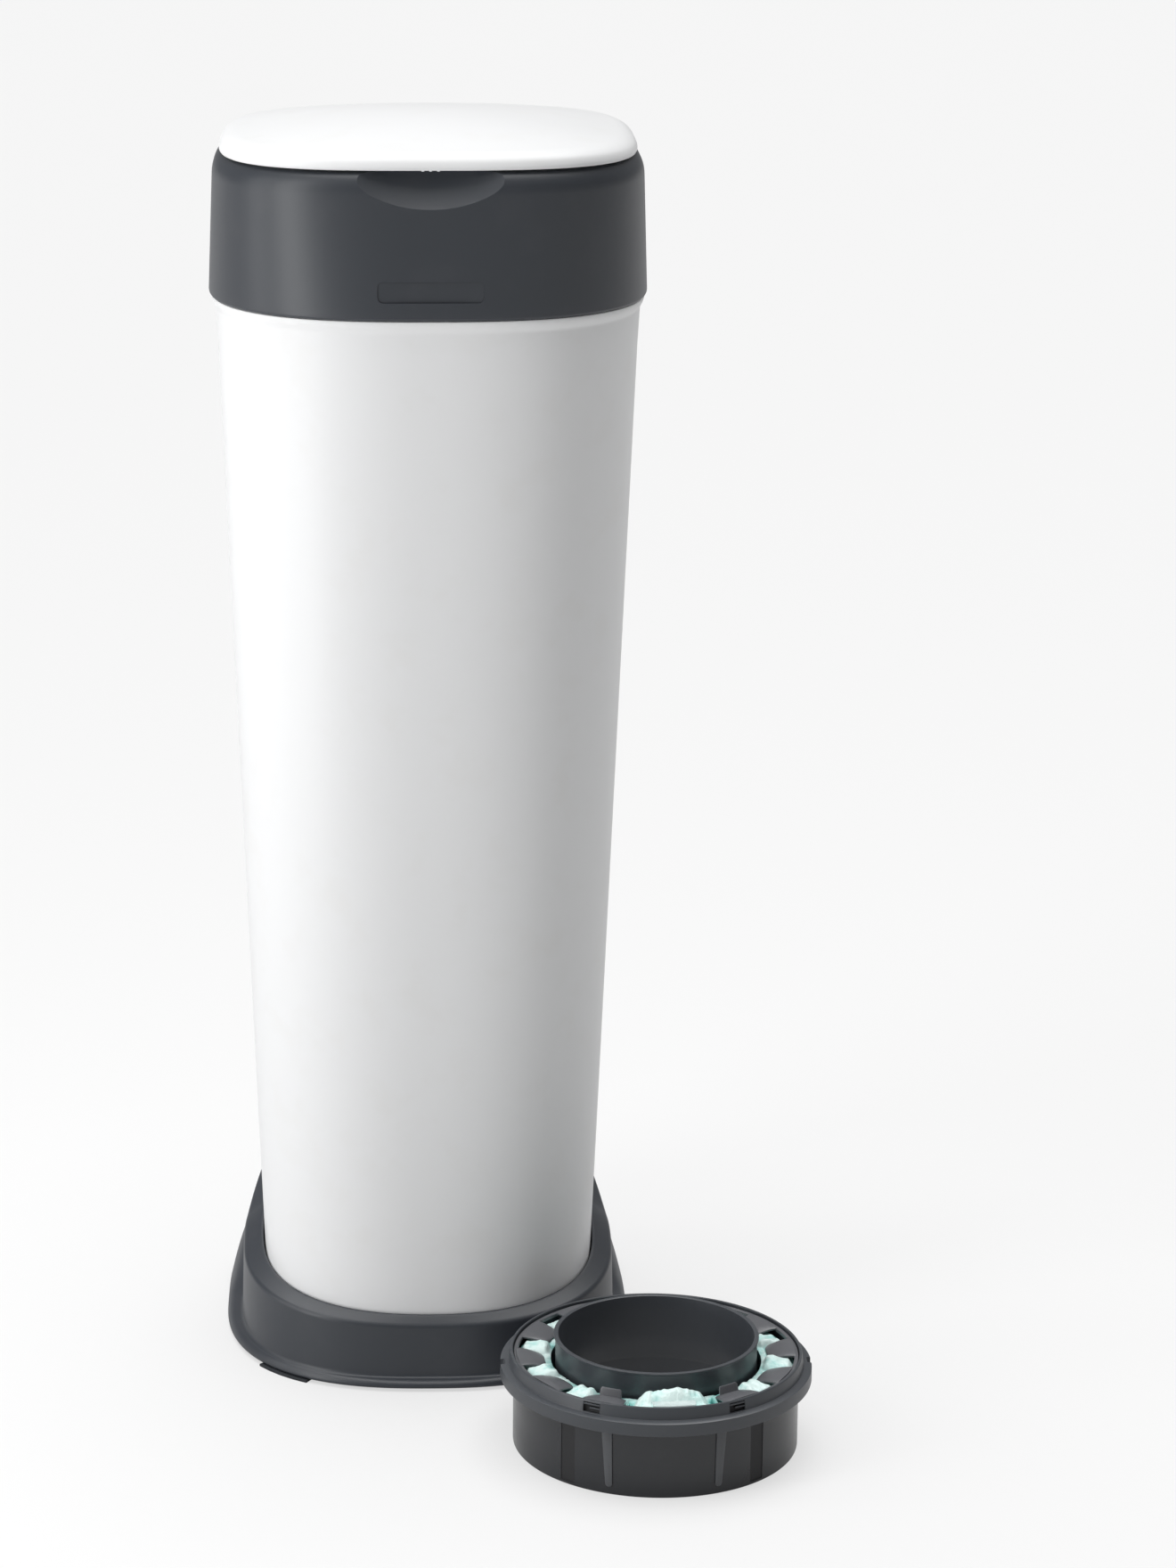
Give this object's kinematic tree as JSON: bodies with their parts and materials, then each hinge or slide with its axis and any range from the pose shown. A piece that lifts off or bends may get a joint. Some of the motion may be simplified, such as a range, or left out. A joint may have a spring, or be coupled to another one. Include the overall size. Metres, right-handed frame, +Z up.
{
  "type": "nappy bin",
  "caption": "Tall nappy bin: tapered white tub in a flared dark shoe, hinged dark head that turns a film cassette, white domed lid, and a spare film cassette standing beside it.",
  "frame": {"origin": "on the floor under the middle of the tub", "axes": "+Z up, front with the finger scoop towards -Y, +X to the right seen from the front"},
  "size_m": [0.3212, 0.3825, 0.6921],
  "materials": {
    "white_shell": "moulded, satin gloss",
    "grey_shell": "moulded, fine satin",
    "dark_plastic": "moulded, satin gloss",
    "cover_plastic": "moulded, satin gloss",
    "rubber": "matte",
    "steel": "zinc plated",
    "film": "thin pleated film",
    "clear_plastic": "clear, smooth"
  },
  "bodies": {
    "base": {"base_shoe": "grey_shell", "rubber_pads": "rubber", "base_screws": "steel", "tub": "white_shell", "hinge_bracket": "grey_shell", "bracket_screws": "steel", "head_hinge_pin": "steel"},
    "head": {"head_collar": "grey_shell", "head_chassis": "dark_plastic", "chassis_screws": "steel", "head_seal": "rubber", "grip_fingers": "dark_plastic", "finger_screws": "steel", "click_spring": "steel", "spring_screw": "steel", "cutter_guard": "dark_plastic", "cutter_blade": "steel", "lid_hinge_pin": "steel"},
    "table": {"turntable": "dark_plastic"},
    "cassette": {"cassette_tub": "dark_plastic", "cassette_cover": "cover_plastic", "cassette_film": "film", "cassette_tab": "clear_plastic"},
    "lid": {"lid_shell": "white_shell", "lid_liner": "white_shell", "lid_plunger": "dark_plastic", "lid_seal": "rubber", "lid_hinge_arms": "grey_shell", "lid_screws": "steel"},
    "spare": {"spare_tub": "dark_plastic", "spare_cover": "cover_plastic", "spare_film": "film", "spare_tab": "clear_plastic"}
  },
  "joints": [
    {"name": "head_tip", "type": "hinge", "parent": "base", "child": "head", "pos_m": [0, 0.12402, 0.6], "axis": [-1, 0, 0], "range_deg": [0, 80]},
    {"name": "lid_open", "type": "hinge", "parent": "head", "child": "lid", "pos_m": [0, 0.12152, 0.6637], "axis": [-1, 0, 0], "range_deg": [0, 100]},
    {"name": "turntable_twist", "type": "hinge", "parent": "head", "child": "table", "pos_m": [0, 0, 0.634], "axis": [0, 0, 1], "continuous": true},
    {"name": "cassette_lift", "type": "slide", "parent": "table", "child": "cassette", "axis": [0, 0, 1], "range_m": [0, 0.012]},
    {"name": "spare_lift", "type": "slide", "parent": "base", "child": "spare", "axis": [0, 0, 1], "range_m": [0, 0.25]}
  ]
}
